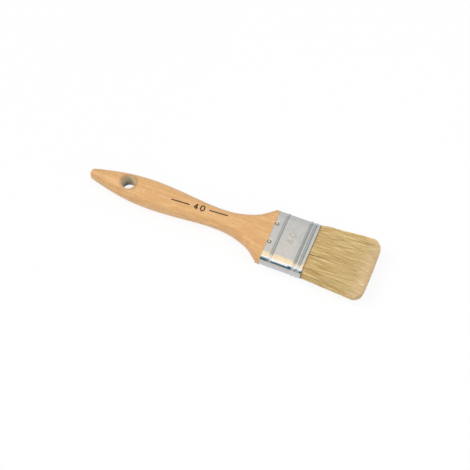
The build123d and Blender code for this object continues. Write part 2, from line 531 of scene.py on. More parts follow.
def mark_strokes(sizes):
    """The pen's paths for a plain 40 between two bars, in the mark's own plane."""
    half_height = (sizes.height - sizes.stroke) / 2
    half_width = FIGURE_SHAPE * half_height
    four_x, zero_x = -sizes.pitch / 2, sizes.pitch / 2
    stem_x = four_x + 0.4 * half_width
    bar_y = -0.4 * half_height
    top = (stem_x, half_height)
    bar_end = sizes.bar_gap + sizes.bar_length
    return [
        stroke_points((stem_x, -half_height), top, 16),
        stroke_points(top, (four_x - half_width, bar_y), 16),
        stroke_points((four_x - half_width, bar_y), (four_x + half_width, bar_y), 12),
        ring_points((zero_x, 0.0), half_width, half_height, 48),
        stroke_points((-bar_end, 0.0), (-sizes.bar_gap, 0.0), 40),
        stroke_points((sizes.bar_gap, 0.0), (bar_end, 0.0), 40),
    ]


def ribbon(path, width):
    """Rows of points across a flat ribbon that follows a path, one row for each of its points."""
    closed = (path[0] - path[-1]).length < 1e-7
    before = [path[-2] if closed else path[0], *path[:-1]]
    after = [*path[1:], path[1] if closed else path[-1]]
    offsets = [width * (lane / LANES - 0.5) for lane in range(LANES + 1)]
    rows = []
    for last, point, following in zip(before, path, after):
        run = (following - last).normalized()
        side = Vector((-run.y, run.x))
        rows.append([point + side * offset for offset in offsets])
    return rows


def laid_on(surface, sizes, point):
    """Where a point of the mark's plane lies on the handle's front."""
    turn = Vector((math.cos(sizes.tilt), math.sin(sizes.tilt)))
    x = shoulder_x - sizes.centre_from_shoulder + point.x * turn.x - point.y * turn.y
    y = sizes.centre_across + point.x * turn.y + point.y * turn.x
    hit = surface.ray_cast(Vector((x, y, 2 * handle_high.z)), Vector((0, 0, -1)))[0]
    if hit is None:
        raise RuntimeError("The size mark runs off the handle")
    return hit + Vector((0, 0, sizes.film))


class BRUSH_OT_size_mark(bpy.types.Operator):
    """Print a plain size number between two bars on the handle"""

    bl_idname = "paint_brush.size_mark"
    bl_label = "Size mark"

    def execute(self, context):
        sizes = context.scene.brush_mark
        surface = BVHTree.FromObject(frame["nodes"]["handle"], context.evaluated_depsgraph_get())
        points, faces = [], []
        for path in mark_strokes(sizes):
            rows = ribbon(path, sizes.stroke)
            start = len(points)
            points += [laid_on(surface, sizes, point) for row in rows for point in row]
            for row in range(len(rows) - 1):
                for lane in range(LANES):
                    first = start + row * (LANES + 1) + lane
                    faces.append((first, first + LANES + 1, first + LANES + 2, first + 1))
        material, tree, shader = new_material("Printed ink", roughness=0.5)
        wear_and_shade = smooth(grain(tree, 0.5 * MM, 0.5 * MM, detail=3.0), 0.45, 0.75)
        tree.links.new(shades(tree, wear_and_shade, sizes.ink, 3.0), shader.inputs["Base Color"])
        ride_root(new_mesh("size_mark", points, faces, material), "beech")
        return {"FINISHED"}


# ---- Ferrule ----


class FerruleSettings(bpy.types.PropertyGroup):
    tin: colour("Tin", "Colour of the bright tinplate", (0.80, 0.80, 0.80))
    roughness: share("Roughness", "Roughness of the rolled sheet", 0.14)
    width: length("Width", "Outer width, a little over the nominal size", 40.65)
    lean: length("Lean", "How far the sheet sits to the left of the middle", 0.1)
    thickness: length("Thickness", "Outer thickness", 12.1)
    sheet: length("Sheet", "Thickness of the tinplate", 0.35)
    seam_gap: length("Seam gap", "Gap between the strip's two ends", 0.15)
    bead_width: length("Bead width", "Width of a rolled bead", 2.4)
    first_bead: length("First bead", "From the handle's end to the single bead", 6.2)
    first_height: length("First bead height", "Height of the single bead", 0.3)
    second_bead: length("Second bead", "From the handle's end to the pair's inner bead", 22.4)
    third_bead: length("Third bead", "From the handle's end to the pair's outer bead", 25.5)
    pair_height: length("Pair height", "Height of the two beads at the mouth", 0.42)
    foot: length("Foot", "Height of the slope that leads up to the pair on the front", 0.12)
    digits_from_handle: length("Number", "From the handle's end to the raised number", 14.1)
    digits_across: length("Number across", "How far left of the middle the raised number is", 1.05)
    digit_height: length("Digit height", "Height of a raised digit", 4.7)
    digit_width: length("Digit width", "Width of a raised digit", 3.4)
    digit_pitch: length("Digit pitch", "Distance between the digits' middles", 5.3)
    digit_stroke: length("Digit stroke", "Width of a raised stroke", 0.6)
    digit_relief: length("Digit relief", "Height of the raised number", 0.035)
    digit_dulling: share("Digit dulling", "How far the raised strokes are dulled", 0.22)
    nail_inset: length("Nail inset", "From the handle's end to the nails", 1.5)
    dent: length("Dent", "How deep the sheet is dented round a nail", 0.16)
    dent_radius: length("Dent radius", "From a nail's middle to where its dent ends", 1.9)
    crown: length("Crown", "How far the broad faces round off towards the right side", 0.1)
    pinch: length("Pinch", "How far the end at the handle is drawn in", 0.12)
    flare: length("Flare", "How far the mouth's edge would open 0.6 mm beyond it", 0.05)
    left_flare: length("Left flare", "How far the mouth's left side stands out", 0.35)
    wobble: length("Wobble", "How far the rolled sheet strays from true", 0.012)
    step: length("Step", "Size of the mesh's faces", 0.24)


def ferrule_inputs(sizes, material):
    """The inputs of the ferrule's tree. The raised number's strokes are drawn into it instead."""
    not_inputs = (
        "roughness", "sheet", "digit_dulling", "digits_from_handle", "digits_across",
        "digit_height", "digit_width", "digit_pitch", "digit_stroke",
    )
    return {
        "start": shoulder_x,
        "length": mouth_x - shoulder_x,
        "middle_height": middle_z,
        "material": material,
        **plain_numbers(sizes, *not_inputs),
    }


def raised_number(x, y, sizes):
    """1 on the strokes of the raised 40 and 0 off them. It reads towards +Y, its tops towards -X."""
    pen_x = (sizes.digit_width - sizes.digit_stroke) / 2
    pen_y = (sizes.digit_height - sizes.digit_stroke) / 2
    across, up = y - sizes.digits_across, sizes.digits_from_handle - x
    four = across + sizes.digit_pitch / 2
    stem_x, bar_y = 0.55 * pen_x, -0.6 * pen_y
    stem = segment_distance(four, up, (stem_x, -pen_y), (stem_x, pen_y))
    slope = segment_distance(four, up, (stem_x, pen_y), (-pen_x, bar_y))
    bar = segment_distance(four, up, (-pen_x, bar_y), (pen_x, bar_y))
    zero = across - sizes.digit_pitch / 2
    from_middle = root(zero * zero / pen_x**2 + up * up / pen_y**2)
    ring = abs(from_middle - 1.0) * ((pen_x + pen_y) / 2)
    nearest = smaller(smaller(stem, slope), smaller(bar, ring))
    soft_edge = 0.45 * sizes.digit_stroke
    half_stroke = sizes.digit_stroke / 2
    return smooth(nearest, half_stroke + soft_edge, half_stroke - soft_edge)


def bead(x, place, width, height):
    """The rise of a rolled bead."""
    off = clamp(abs(x - place) / (width / 2), 0.0, 1.0)
    return height * (cosine(off * math.pi) + 1.0) / 2.0


def ferrule_tree(sizes, inputs):
    """Wraps a flat grid round the ferrule's section and raises it by beads, dents and number.

    The grid's y is the girth, counted from the middle of the right side. It runs over the front
    where it is positive, and both ends meet at the seam in the middle of the left side.
    """
    tree, given = new_rule("Ferrule sheet", inputs)
    radius = given.thickness / 2.0
    flat_half = given.width / 2.0 - radius
    girth = flat_half * 4.0 + radius * (2.0 * math.pi) - given.seam_gap
    grid = add(tree, "GeometryNodeMeshGrid", {
        "Size X": given.length, "Size Y": girth,
        "Vertices X": given.length / given.step,
        "Vertices Y": girth / (given.step * 1.25),
    })

    # The section: a half turn over each side, and a flat run over the front and the back.
    x, turn = grid_place(tree)
    x = x + given.length / 2.0
    front = maths(tree, "SIGN", turn)
    gone = abs(turn)
    quarter = radius * (math.pi / 2)
    first_turn = clamp(gone / radius, 0.0, math.pi / 2)
    flat = clamp(gone - quarter, 0.0, flat_half * 2.0)
    second_turn = clamp((gone - quarter - flat_half * 2.0) / radius, 0.0, math.pi / 2)
    out_y = sine(second_turn) - cosine(first_turn)
    out_z = front * sine(first_turn) * cosine(second_turn)
    y = flat - flat_half + radius * out_y
    left = larger(out_y, 0.0)

    # What is rolled and pressed into the sheet.
    beads = bead(x, given.first_bead, given.bead_width, given.first_height)
    for place in (given.second_bead, given.third_bead):
        beads = beads + bead(x, place, given.bead_width, given.pair_height)
    beads = beads * (left * 0.5 + 1.0)
    number = raised_number(x, y, sizes) * (front > 0.0)
    dents = 0.0
    for side in ("left", "right"):
        low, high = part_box(f"front_{side}_nail")
        off_x = x - given.nail_inset
        off_y = y * front - (low.y + high.y) / 2
        off = root(off_x * off_x + off_y * off_y)
        dents = smooth(off, given.dent_radius, given.dent_radius * 0.3) * given.dent + dents

    # How the sheet strays from its true section.
    place = join(tree, x / (9 * MM), gone / (7 * MM), front)
    stray = (noise_value(tree, place, detail=1.0) - 0.5) * 2.0 * given.wobble
    past_edge = radius * (math.pi / 2 - first_turn + second_turn) - flat_half + abs(flat - flat_half)
    crown = smooth(past_edge, -1.6 * MM, 2.4 * MM) * (y < 0.0) * given.crown
    pinch = clamp(1.0 - x / (given.first_bead - given.bead_width / 2.0), 0.0, 1.0) * given.pinch
    foot = smooth(abs(x - given.second_bead), 4 * MM, 1 * MM) * given.foot
    foot = foot * (x < given.second_bead) * (front > 0.0)
    flare = smooth(x, given.length - 1.8 * MM, given.length + 0.6 * MM) * given.flare
    near_mouth = smooth(x, given.length - 2.6 * MM, given.length - 0.4 * MM)
    flare = flare + near_mouth * left * given.left_flare
    rise = beads + number * given.digit_relief - dents - crown - pinch + foot + flare + stray
    numbered = keep_value(tree, grid.outputs["Mesh"], "number", number)
    sheet = moved(
        tree, numbered,
        given.start + x,
        y + given.lean + out_y * rise,
        given.middle_height + radius * out_z + out_z * rise,
    )
    finish_rule(tree, sheet, given.material)
    return tree


def tinplate_material(sizes):
    """Bright rolled tinplate with faint rolling lines and spangle."""
    material, tree, shader = new_material("Bright tinplate", metallic=1.0)
    rolling = grain(tree, 0.12 * MM, 14 * MM)
    cloud = grain(tree, 3 * MM, 3 * MM, detail=3.0, roughness=0.6)
    sheen = shades(tree, smooth(cloud, 0.35, 0.7), sizes.tin, 0.93)
    dulled = mix_colours(tree, carried(tree, "number") * sizes.digit_dulling, sheen, BLACK)
    tree.links.new(dulled, shader.inputs["Base Color"])
    unevenness = (cloud - 0.5) * 0.08 + (rolling - 0.5) * 0.05
    feed(tree, shader.inputs["Roughness"], sizes.roughness + unevenness)
    bump(tree, shader, rolling * 0.5 + cloud * 0.5, strength=0.06, distance=0.03 * MM)
    return material


class BRUSH_OT_ferrule(bpy.types.Operator):
    """Roll the beaded tinplate ferrule with its raised number"""

    bl_idname = "paint_brush.ferrule"
    bl_label = "Ferrule"

    def execute(self, context):
        sizes = context.scene.brush_ferrule
        inputs = ferrule_inputs(sizes, tinplate_material(sizes))
        sheet = grow("ferrule_sheet", ferrule_tree(sizes, inputs), inputs, sizes.sheet)
        sheet.data.shade_smooth()
        sheet.data.set_sharp_from_angle(angle=math.radians(50))
        ride_root(sheet, "tinplate", "ferrule")
        return {"FINISHED"}


# ---- Nails ----

NAIL_NODES = ["front_left_nail", "front_right_nail", "back_left_nail", "back_right_nail"]
DOME_RINGS = 10
NAIL_RINGS = DOME_RINGS + 6  # one under the head, two down the shank and three round the point
NAIL_SIDES = 32


class NailSettings(bpy.types.PropertyGroup):
    steel: colour("Steel", "Colour of the nails", (0.80, 0.79, 0.75))
    # Painted shade: the colour of the dark ring round each head's rim.
    grime: colour("Grime", "Colour of the dark rim of a head", (0.10, 0.08, 0.05))
    roughness: share("Roughness", "Roughness of the nails' heads", 0.16)
    head_radius: length("Head radius", "Radius of a nail's head", 1.3)
    head_height: length("Head height", "Height of a nail's domed head", 0.58)
    sunk: length("Sunk", "How deep a head sits in the dented sheet", 0.13)
    shank_radius: length("Shank radius", "Radius of a nail's shank", 0.6)
    nail_length: length("Nail length", "From under the head to the point", 7.0)
    point: length("Point", "Length of the nail's point", 1.2)


def nail_tree(inputs):
    """Turns a nail on a lathe: domed head, shank and point. The grid's x runs down its outline."""
    tree, given = new_rule("Nail", inputs)
    grid = add(tree, "GeometryNodeMeshGrid", {
        "Size X": 1.0, "Size Y": 2 * math.pi,
        "Vertices X": NAIL_RINGS + 1, "Vertices Y": NAIL_SIDES + 1,
    })
    down, turn = grid_place(tree)
    ring = (down + 0.5) * NAIL_RINGS
    dome = clamp(ring / DOME_RINGS, 0.0, 1.0) * (math.pi / 2)
    under_head = clamp(ring - DOME_RINGS, 0.0, 1.0)
    shank = clamp((ring - DOME_RINGS - 1.0) / 2.0, 0.0, 1.0)
    point = clamp((ring - DOME_RINGS - 3.0) / 3.0, 0.0, 1.0)
    radius = given.head_radius * sine(dome)
    radius = radius + (given.shank_radius - given.head_radius) * under_head
    radius = radius - given.shank_radius * point
    height = given.head_height * cosine(dome) - given.sunk
    height = height - (given.nail_length - given.point) * shank - given.point * point
    # The rim mask, where the material paints a dark ring of shade round the head.
    rim = smooth(radius, given.head_radius * 0.68, given.head_radius * 0.84)
    ringed = keep_value(tree, grid.outputs["Mesh"], "rim", rim)
    turned = moved(
        tree, ringed,
        given.x + radius * cosine(turn),
        given.y + radius * sine(turn) * given.outward,
        given.z + height * given.outward,
    )
    closed = add(tree, "GeometryNodeMergeByDistance", {"Geometry": turned, "Distance": 0.001 * MM})
    finish_rule(tree, closed.outputs[0], given.material)
    return tree


def nail_material(sizes):
    """Bright drawn steel with a painted dark ring of shade round the rim of the head."""
    material, tree, shader = new_material("Bright nail steel", metallic=1.0)
    mottle = grain(tree, 0.4 * MM, 0.4 * MM)
    rim = carried(tree, "rim")
    # Painted shade: the head's rim darkens to the painted rim colour.
    wear_and_shade = mix_colours(tree, rim, shades(tree, mottle, sizes.steel, 0.85), sizes.grime)
    tree.links.new(wear_and_shade, shader.inputs["Base Color"])
    feed(tree, shader.inputs["Roughness"], sizes.roughness + rim * 0.3 + (mottle - 0.5) * 0.08)
    return material


class BRUSH_OT_nails(bpy.types.Operator):
    """Drive the four domed nails that hold the ferrule"""

    bl_idname = "paint_brush.nails"
    bl_label = "Nails"

    def execute(self, context):
        sizes = context.scene.brush_nails
        material = nail_material(sizes)
        half_thickness = context.scene.brush_ferrule.thickness / 2
        tree = None
        for name in NAIL_NODES:
            low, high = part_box(name)
            outward = 1.0 if high.z > 2 * middle_z - low.z else -1.0
            inputs = {
                "x": (low.x + high.x) / 2,
                "y": (low.y + high.y) / 2,
                "z": middle_z + outward * half_thickness,
                "outward": outward,
                "material": material,
                **plain_numbers(sizes, "roughness"),
            }
            tree = tree or nail_tree(inputs)
            nail = grow(f"{name}_domed", tree, inputs)
            nail.data.shade_smooth()
            nail.data.set_sharp_from_angle(angle=math.radians(60))
            ride_root(nail, "nail_steel", name)
        return {"FINISHED"}


# ---- Bristles ----

PARTING_START = -4.4 * MM  # the parting's y in the mouth
PARTING_SLOPE = 0.107  # how far it runs to the left for each metre out of the mouth
WAVE_LENGTH = 16 * MM  # along a lock
BEND_LENGTH = 7 * MM  # along a single bristle, across the pack
BEND_LENGTH_DEEP = 6 * MM  # and through its thickness


class BristleSettings(bpy.types.PropertyGroup):
    pale: colour("Pale", "Colour of the lightest bristles", (1.0, 0.84, 0.43))
    tan: colour("Tan", "Colour of the darkest bristles", (0.62, 0.365, 0.12))
    tip: colour("Tip", "Colour of the split tips", (1.0, 0.79, 0.49))
    # Root is painted shade: the colour that the bristles darken to inside the ferrule's mouth and along
    # the front parting.
    root: colour("Root", "Colour of the bristles in the ferrule's mouth", (0.30, 0.20, 0.09))
    sheen: share("Sheen", "Soft glow at the bristles' edges", 0.5)
    spacing: length("Spacing", "Distance between neighbouring bristles", 0.155)
    root_depth: length("Root depth", "How deep in the mouth a bristle starts", 1.2)
    mouth_half_width: length("Mouth half width", "Half the pack's width in the mouth", 19.5)
    mouth_half_thickness: length("Mouth half thickness", "Half its thickness there", 5.55)
    spring: length("Spring", "Length over which the bristles spring apart", 1.4)
    spring_half_width: length("Spring half width", "Half the width past the spring", 20.45)
    spring_lean: length("Spring lean", "How far left the pack's middle stands there", 0.95)
    tip_half_width: length("Tip half width", "Half the width at the tips", 23.75)
    tip_lean: length("Tip lean", "How far left the pack's middle stands there", 1.6)
    tip_half_thickness: length("Tip half thickness", "Half the thickness at the tips", 4.0)
    left_corner: length("Left corner", "Rounding of the tips' left corner", 8.0)
    right_corner: length("Right corner", "Rounding of the tips' right corner", 8.8)
    left_cut: share("Left cut", "How straight the left corner is cut", 0.3)
    crown: length("Crown", "How much further the middle reaches than the corners", 0.7)
    end_radius: length("End radius", "Rounding of the tips, seen from the side", 2.6)
    chisel: length("Chisel", "How much shorter the back tips are than the front ones", 0.3)
    radius: length("Radius", "Radius of a bristle at its root", 0.1)
    tip_radius: length("Tip radius", "Radius of a bristle at its tip", 0.08)
    stray: length("Stray", "How far a bristle strays from its own line", 0.22)
    wave: length("Wave", "How far a lock of bristles strays together", 0.12)
    lock: length("Lock", "Width of a lock of bristles", 1.4)
    gather: share("Gather", "How far a lock draws together at its tips", 0.12)
    trim: length("Trim", "How unevenly the tips are trimmed", 0.9)
    parting: length("Parting", "Half the width of the front parting at the mouth", 0.32)
    parting_length: length("Parting length", "How far the parting runs from the mouth", 17.0)
    rings: IntProperty(name="Rings", description="Points along a bristle", default=8, min=4, max=16)
    seed: IntProperty(name="Seed", description="Seed of the bristles' places", default=7, min=0)


def bristle_inputs(sizes, material, front, left):
    """The inputs of the bristles' tree for one quarter of the pack."""
    return {
        **plain_numbers(sizes, "sheen", "left_corner", "right_corner", "left_cut"),
        "mouth": mouth_x,
        "middle_height": middle_z,
        "front": float(front),
        "left": float(left),
        "free_length": tips_x - mouth_x,
        "corner_radius": sizes.left_corner if left > 0 else sizes.right_corner,
        "corner_cut": sizes.left_cut if left > 0 else 0.0,
        "seed": sizes.seed + 2 * front + left,
        "material": material,
    }


def luck(tree, seed, low=0.0, high=1.0):
    """A random number for each point, with a seed of its own."""
    inputs = {"Min_001": low, "Max_001": high}
    node = tree.nodes.new("FunctionNodeRandomValue")
    node.data_type = "FLOAT"
    for socket in node.inputs:
        if socket.identifier in inputs:
            socket.default_value = inputs[socket.identifier]
    feed(tree, node.inputs["Seed"], seed)
    return Number(tree, next(s for s in node.outputs if s.enabled))


def round_drop(off, half, radius, cut=0.0):
    """How much shorter a trimmed pack is near an edge that rounds over, or is partly cut straight."""
    past = clamp(abs(off) - (half - radius), 0.0, radius)
    rounded = radius - root(radius * radius - past * past)
    return rounded + (past - rounded) * cut


def bristle_roots(tree, given):
    """Evenly scattered points over a quarter of the mouth, with each bristle's own values kept."""
    half_width, half_thickness = given.mouth_half_width, given.mouth_half_thickness
    grid = add(tree, "GeometryNodeMeshGrid", {
        "Size X": half_width, "Size Y": half_thickness, "Vertices X": 2, "Vertices Y": 2,
    })
    scattered = add(tree, "GeometryNodeDistributePointsOnFaces", {
        "Mesh": grid.outputs["Mesh"], "Distance Min": given.spacing,
        "Density Max": 4.0 / (given.spacing * given.spacing), "Seed": given.seed,
    }, distribute_method="POISSON")
    x, y = grid_place(tree)
    across = x + half_width / 2.0
    deep = y + half_thickness / 2.0
    past = larger(across - (half_width - half_thickness), 0.0)
    outside = past * past + deep * deep > half_thickness * half_thickness
    kept = add(tree, "GeometryNodeDeleteGeometry", {
        "Geometry": scattered.outputs["Points"], "Selection": outside,
    }, domain="POINT")
    points = kept.outputs[0]
    values = {
        "across": across * given.left,
        "deep": deep * given.front,
        "bristle": Number(tree, tree.nodes.new("GeometryNodeInputIndex").outputs[0]),
        "trim": luck(tree, given.seed + 11.0),
        "tone": luck(tree, given.seed + 23.0),
        "phase": luck(tree, given.seed + 37.0, 0.0, 2 * math.pi),
        "bend": luck(tree, given.seed + 51.0),
    }
    for name, value in values.items():
        points = keep_value(tree, points, name, value)
    return points


def bristle_line(tree, given, share):
    """Where a bristle's point is, at a share of its length: its distance out, across and up."""
    across, deep = kept_value(tree, "across"), kept_value(tree, "deep")
    half_width, half_thickness = given.mouth_half_width, given.mouth_half_thickness
    free, spring = given.free_length, given.spring
    wide, thick = across / half_width, deep / half_thickness

    tip_half = given.tip_half_width
    corner = round_drop(wide * tip_half, tip_half, given.corner_radius, given.corner_cut)
    corner = corner + given.crown * wide * wide
    end = round_drop(thick * given.tip_half_thickness, given.tip_half_thickness, given.end_radius)
    chisel = (1.0 - thick) * given.chisel / 2.0
    luck_of_trim = kept_value(tree, "trim")
    length_out = free - larger(corner, end) - chisel - luck_of_trim * luck_of_trim * given.trim
    out = share * (length_out + given.root_depth) - given.root_depth

    sprung = smooth(out, 0.0, spring)
    spread = clamp((out - spring) / (free - spring), 0.0, 1.0)
    half = half_width + (given.spring_half_width - half_width) * sprung
    half = half + (given.tip_half_width - given.spring_half_width) * spread
    lean = given.spring_lean * sprung + (given.tip_lean - given.spring_lean) * spread
    depth = half_thickness + (given.tip_half_thickness - half_thickness) * spread
    y = wide * half + lean
    z = thick * depth

    # Locks draw together and wave as one, and each bristle strays a little from its lock.
    lock_place = join(tree, across / given.lock, deep / given.lock, 0.0)
    cells = add(tree, "ShaderNodeTexVoronoi", {"Vector": lock_place, "Scale": 1.0})
    cell_across, cell_deep, _ = split(tree, cells.outputs["Position"])
    drawn = given.gather * spread
    y = y + (cell_across * given.lock - across) * drawn
    z = z + (cell_deep * given.lock - deep) * drawn
    free_share = smooth(out, 0.0, free * 0.7)
    wave_place = join(tree, across / (given.lock * 2.2), deep / (given.lock * 2.2), out / WAVE_LENGTH)
    _, wave_y, wave_z = split(tree, noise(tree, wave_place, detail=1.0).outputs["Color"])
    phase, bend = kept_value(tree, "phase"), kept_value(tree, "bend")
    stray = given.stray * free_share * (bend * bend * 1.6 + 0.3)
    y = y + (wave_y - 0.5) * given.wave * free_share * 2.0 + stray * sine(phase + out / BEND_LENGTH)
    z = z + (wave_z - 0.5) * given.wave * free_share
    z = z + stray * 0.6 * cosine(phase * 1.7 + out / BEND_LENGTH_DEEP)
    return out, y, z


def streaks(tree, out):
    """Fine light and dark streaks along the bristles, from 0 to 1, that follow their spread."""
    across, deep = kept_value(tree, "across"), kept_value(tree, "deep")

    def streaked(wide, thick, long, detail=1.0):
        place = join(tree, across / wide, deep / thick, out / long)
        return noise_value(tree, place, detail=detail)

    fine = streaked(0.33 * MM, 0.8 * MM, 4.5 * MM)
    broad = streaked(1.0 * MM, 1.8 * MM, 12.0 * MM)
    dark_lines = smooth(streaked(0.36 * MM, 0.8 * MM, 5.0 * MM, detail=0.0), 0.60, 0.70)
    return smooth(fine * 0.88 + broad * 0.12, 0.42, 0.56) * (1.0 - dark_lines)


def parting_place(out):
    """The y of the front parting, at a distance out of the mouth."""
    return out * PARTING_SLOPE + PARTING_START


def parted(tree, given, out, y, z):
    """The bristles' y once the front ones stand apart along the parting."""
    fade = larger(1.0 - larger(out, 0.0) / given.parting_length, 0.0)
    off = y - parting_place(out)
    near = maths(tree, "EXPONENT", -abs(off) / (1.6 * MM))
    top = smooth(z, given.mouth_half_thickness * 0.2, given.mouth_half_thickness * 0.6)
    return y + maths(tree, "SIGN", off) * near * root(fade) * top * given.parting


def bristle_tree(inputs):
    """Bristles as thin tapered tubes: one for each root, bent by the pack's own shape."""
    tree, given = new_rule("Bristles", inputs)
    roots = bristle_roots(tree, given)
    copies = add(tree, "GeometryNodeDuplicateElements", {
        "Geometry": roots, "Amount": given.rings,
    }, domain="POINT")
    place = Number(tree, copies.outputs["Duplicate Index"])
    share = place / (given.rings - 1.0)
    share = share * root(share)  # puts the points closest together where the bristles spring apart
    points = keep_value(tree, copies.outputs["Geometry"], "along", share)
    share = kept_value(tree, "along")
    out, y, z = bristle_line(tree, given, share)
    points = keep_value(tree, points, "streak", streaks(tree, out))
    y = parted(tree, given, out, y, z)
    points = moved(tree, points, given.mouth + out, y, given.middle_height + z)
    lines = add(tree, "GeometryNodePointsToCurves", {
        "Points": points, "Curve Group ID": kept_value(tree, "bristle"), "Weight": share,
    })
    radius = given.radius + (given.tip_radius - given.radius) * (share * share)
    profile = add(tree, "GeometryNodeCurvePrimitiveCircle", {"Resolution": 3, "Radius": 1.0})
    tubes = add(tree, "GeometryNodeCurveToMesh", {
        "Curve": lines.outputs[0], "Profile Curve": profile.outputs[0],
        "Scale": radius, "Fill Caps": True,
    })
    soft = add(tree, "GeometryNodeSetShadeSmooth", {"Geometry": tubes.outputs[0]})
    finish_rule(tree, soft.outputs[0], given.material)
    return tree


def bristle_material(sizes):
    """Hog bristle: each one its own tone, darker and lighter locks, pale split tips, and painted shade
    in the ferrule's mouth and along the front parting.
    """
    material, tree, shader = new_material(
        "Hog bristle", sheen_weight=sizes.sheen, sheen_roughness=0.4, sheen_tint=(1.0, 0.8, 0.5, 1.0)
    )
    x, y, z = split(tree, place_in_object(tree))
    tone, along, streak = (carried(tree, name) for name in ("tone", "along", "streak"))
    shade = tone * 0.12 + streak * 0.88 + along * 0.22 - 0.06
    body = mix_colours(tree, shade, sizes.tan, sizes.pale)
    split_tip = smooth(along, 0.76, 1.0) * (streak * 0.5 + 0.55)
    tipped = mix_colours(tree, split_tip, body, sizes.tip)
    # Painted shade: the bristles darken just inside the mouth.
    mouth_shade = smooth(x, mouth_x + 0.9 * MM, mouth_x + 0.1 * MM) * 0.7
    out = x - mouth_x
    # Painted shade along the front parting, fading out away from the mouth.
    parting_shade = smooth(abs(y - parting_place(out)), 0.5 * MM, 0.15 * MM) * (z > middle_z)
    parting_shade = parting_shade * smooth(out, sizes.parting_length, sizes.parting_length * 0.3)
    shaded = mix_colours(tree, larger(mouth_shade, parting_shade), tipped, sizes.root)
    tree.links.new(shaded, shader.inputs["Base Color"])
    feed(tree, shader.inputs["Roughness"], 0.42 + tone * 0.16)
    return material


class BRUSH_OT_bristles(bpy.types.Operator):
    """Set the two banks of hog bristle in the ferrule's mouth"""

    bl_idname = "paint_brush.bristles"
    bl_label = "Bristles"

    def execute(self, context):
        sizes = context.scene.brush_bristles
        material = bristle_material(sizes)
        tree = None
        for bank, front in (("front", 1), ("back", -1)):
            for side, left in (("left", 1), ("right", -1)):
                inputs = bristle_inputs(sizes, material, front, left)
                tree = tree or bristle_tree(inputs)
                lock = grow(f"{bank}_{side}_bristles", tree, inputs)
                for spare in ("across", "deep", "bristle", "trim", "phase", "bend"):
                    lock.data.attributes.remove(lock.data.attributes[spare])
                ride_root(lock, "bristle", f"{bank}_bristles")
        return {"FINISHED"}


# ---- Filling: the plug and the resin behind the bristles ----


class FillingSettings(bpy.types.PropertyGroup):
    plug: colour("Plug", "Colour of the raw softwood plug", (0.62, 0.42, 0.22))
    resin: colour("Resin", "Colour of the cured resin", (0.30, 0.16, 0.05))


class BRUSH_OT_filling(bpy.types.Operator):
    """Finish the wedge plug and the setting resin inside the ferrule"""

    bl_idname = "paint_brush.filling"
    bl_label = "Filling"

    def execute(self, context):
        sizes = context.scene.brush_filling
        material, tree, shader = new_material("Raw softwood", roughness=0.8)
        raw = shades(tree, grain(tree, 14 * MM, 0.8 * MM, detail=3.0), sizes.plug, 0.7)
        tree.links.new(raw, shader.inputs["Base Color"])
        paint(frame["nodes"]["spacer_plug"], material)

        material, tree, shader = new_material("Cured resin", roughness=0.3)
        cured = shades(tree, grain(tree, 4 * MM, 4 * MM), sizes.resin, 0.6)
        tree.links.new(cured, shader.inputs["Base Color"])
        paint(frame["nodes"]["setting_resin"], material)
        return {"FINISHED"}


# ---- Stage ----


class StageSettings(bpy.types.PropertyGroup):
    aim: FloatVectorProperty(
        name="Aim", description="The point that the camera looks at",
        default=(7.44 * MM, -6.96 * MM, 6.5 * MM), size=3, subtype="XYZ", unit="LENGTH", precision=5,
    )
    distance: length("Distance", "From the camera to the point it looks at", 800.0, high=10000.0)
    elevation: angle("Elevation", "How far the camera looks down", 62.17)
    azimuth: angle("Azimuth", "Turn of the camera about the vertical", 22.35)
    lens: FloatProperty(name="Lens", description="Focal length, for a 36 mm sensor", default=93.14)
    floor_size: length("Floor size", "Side of the floor", 6000.0, high=20000.0)
    floor: colour("Floor", "Colour of the floor", (0.925, 0.925, 0.925))
    shadow: share("Shadow", "How much of the floor's shading the camera sees", 0.12)
    ambient: share("Ambient", "Strength of the soft light from all around", 0.62, high=10.0)
    key: share("Key", "Power in watts of the soft light from the upper left", 24.5, high=1000.0)
    fill: share("Fill", "Power in watts of the soft light from the right", 3.0, high=1000.0)


def add_lamp(name, place, size, power):
    """A square area lamp that faces the brush, and that gloss doesn't mirror."""
    light = bpy.data.lights.new(name, "AREA")
    light.size = size
    light.energy = power
    lamp = new_object(name, light)
    lamp.location = place
    lamp.rotation_euler = (-Vector(place)).to_track_quat("-Z", "Y").to_euler()
    lamp.visible_glossy = False


def ray_is(tree, kind):
    """1 for rays of that kind and 0 for others."""
    return Number(tree, tree.nodes.new("ShaderNodeLightPath").outputs[f"Is {kind} Ray"])


def floor_material(sizes):
    """A pale floor. The camera sees mostly plain white and a share of the soft shading."""
    material, tree, shader = new_material("Pale floor", base_color=(*sizes.floor, 1.0), roughness=0.9)
    seen = larger(ray_is(tree, "Camera"), larger(ray_is(tree, "Glossy"), ray_is(tree, "Transmission")))
    white = add(tree, "ShaderNodeEmission", {"Color": (1.0, 1.0, 1.0, 1.0), "Strength": 1.0})
    mixed = add(tree, "ShaderNodeMixShader", {
        0: seen * (1.0 - sizes.shadow), 1: shader.outputs[0], 2: white.outputs[0],
    })
    tree.links.new(mixed.outputs[0], tree.nodes["Material Output"].inputs["Surface"])
    return material


# The cards that the ferrule's two narrow sides mirror.
CARD_HEIGHT = 0.2 * MM
CARD_ENDS = (-60 * MM, 110 * MM)
CARD_REACH = 400 * MM
FAR_TINT = (0.57, 0.585, 0.585)
NEAR_TINTS = (0.70, 0.705, 0.76), (0.73, 0.66, 0.59)

